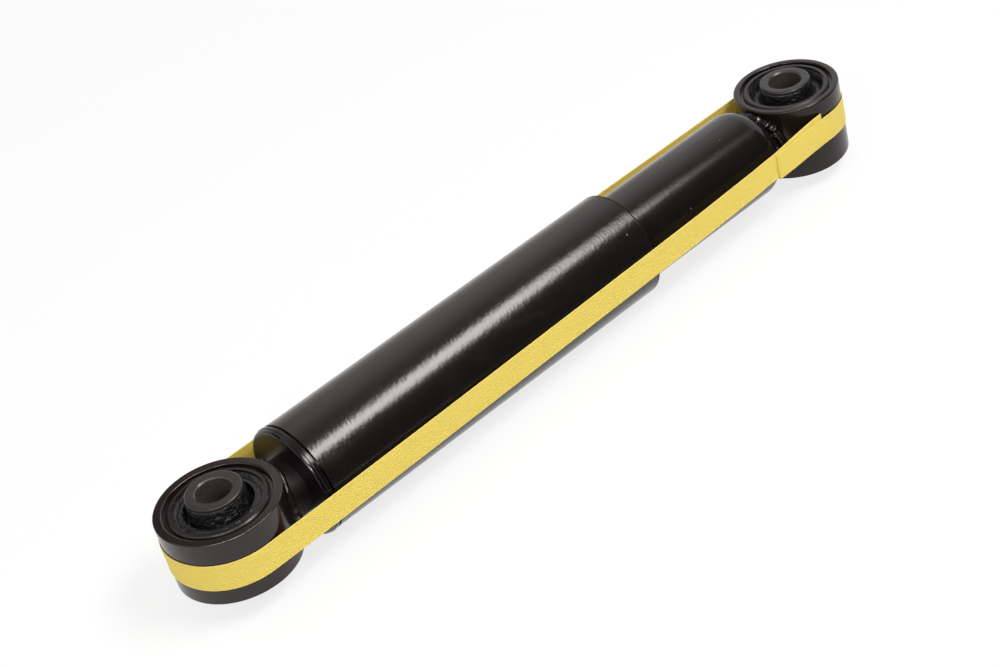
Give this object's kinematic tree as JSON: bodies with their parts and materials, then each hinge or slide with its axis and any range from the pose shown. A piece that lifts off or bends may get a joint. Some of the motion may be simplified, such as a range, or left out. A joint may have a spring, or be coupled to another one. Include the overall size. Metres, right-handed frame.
{
  "type": "shock absorber",
  "caption": "Telescopic twin-tube vehicle damper with a rubber-bushed bolt eye at each end and a dust cover, strapped near its closed length.",
  "frame": {"origin": "centre of the base eye's bolt bore, halfway along it", "axes": "+X along the damper from the base eye to the rod eye, so that extension is +X; +Z along both bolt bores"},
  "size_m": [0.5136, 0.0716, 0.0662],
  "materials": {
    "black_paint": "satin gloss black paint",
    "bush_steel": "black paint over steel tube",
    "sleeve_steel": "dark phosphated steel",
    "bush_rubber": "moulded black rubber",
    "rod_chrome": "hard chrome, ground",
    "plain_steel": "oiled bare steel",
    "spring_steel": "blued spring strip",
    "sintered_iron": "steam treated sintered iron",
    "guide_bronze": "lined bronze",
    "seal_rubber": "oil resistant rubber",
    "band_plastic": "filled fluoropolymer",
    "strap_weave": "fine ribbed yellow polyester weave"
  },
  "bodies": {
    "base_sleeve": {"base_bush_inner_sleeve": "sleeve_steel"},
    "cylinder": {"base_eye_ring": "black_paint", "reservoir_tube": "black_paint", "base_bush_outer_sleeve": "bush_steel", "base_bush_rubber": "bush_rubber", "pressure_tube": "plain_steel", "closing_washer": "plain_steel", "base_valve_bolt": "plain_steel", "base_valve_nut": "plain_steel", "compression_valve_discs": "spring_steel", "base_check_plate": "spring_steel", "base_check_spring": "spring_steel", "base_valve_body": "sintered_iron", "rod_guide": "sintered_iron", "guide_bush": "guide_bronze", "rod_seal": "seal_rubber", "transport_strap": "strap_weave"},
    "rod": {"rod_eye_ring": "black_paint", "rod_bush_outer_sleeve": "bush_steel", "rod_bush_rubber": "bush_rubber", "dust_cover": "black_paint", "cover_cap": "black_paint", "piston_rod": "rod_chrome", "piston": "sintered_iron", "piston_band": "band_plastic", "rebound_valve_discs": "spring_steel", "intake_valve_disc": "spring_steel", "intake_valve_spring": "spring_steel", "intake_stop_washer": "plain_steel", "rebound_stop_collar": "plain_steel", "rebound_bumper": "seal_rubber", "piston_nut": "plain_steel"},
    "rod_sleeve": {"rod_bush_inner_sleeve": "sleeve_steel"}
  },
  "joints": [
    {"name": "base_bush_twist", "type": "hinge", "parent": "base_sleeve", "child": "cylinder", "pos_m": [0, 0, 0], "axis": [0, 0, 1], "range_deg": [-15, 15], "stiffness_Nm_per_rad": 60},
    {"name": "rod_slide", "type": "slide", "parent": "cylinder", "child": "rod", "axis": [1, 0, 0], "range_m": [-0.015, 0.18], "deforming": ["transport_strap"]},
    {"name": "rod_bush_twist", "type": "hinge", "parent": "rod", "child": "rod_sleeve", "pos_m": [0.445, 0, 0], "axis": [0, 0, 1], "range_deg": [-15, 15], "stiffness_Nm_per_rad": 60}
  ]
}
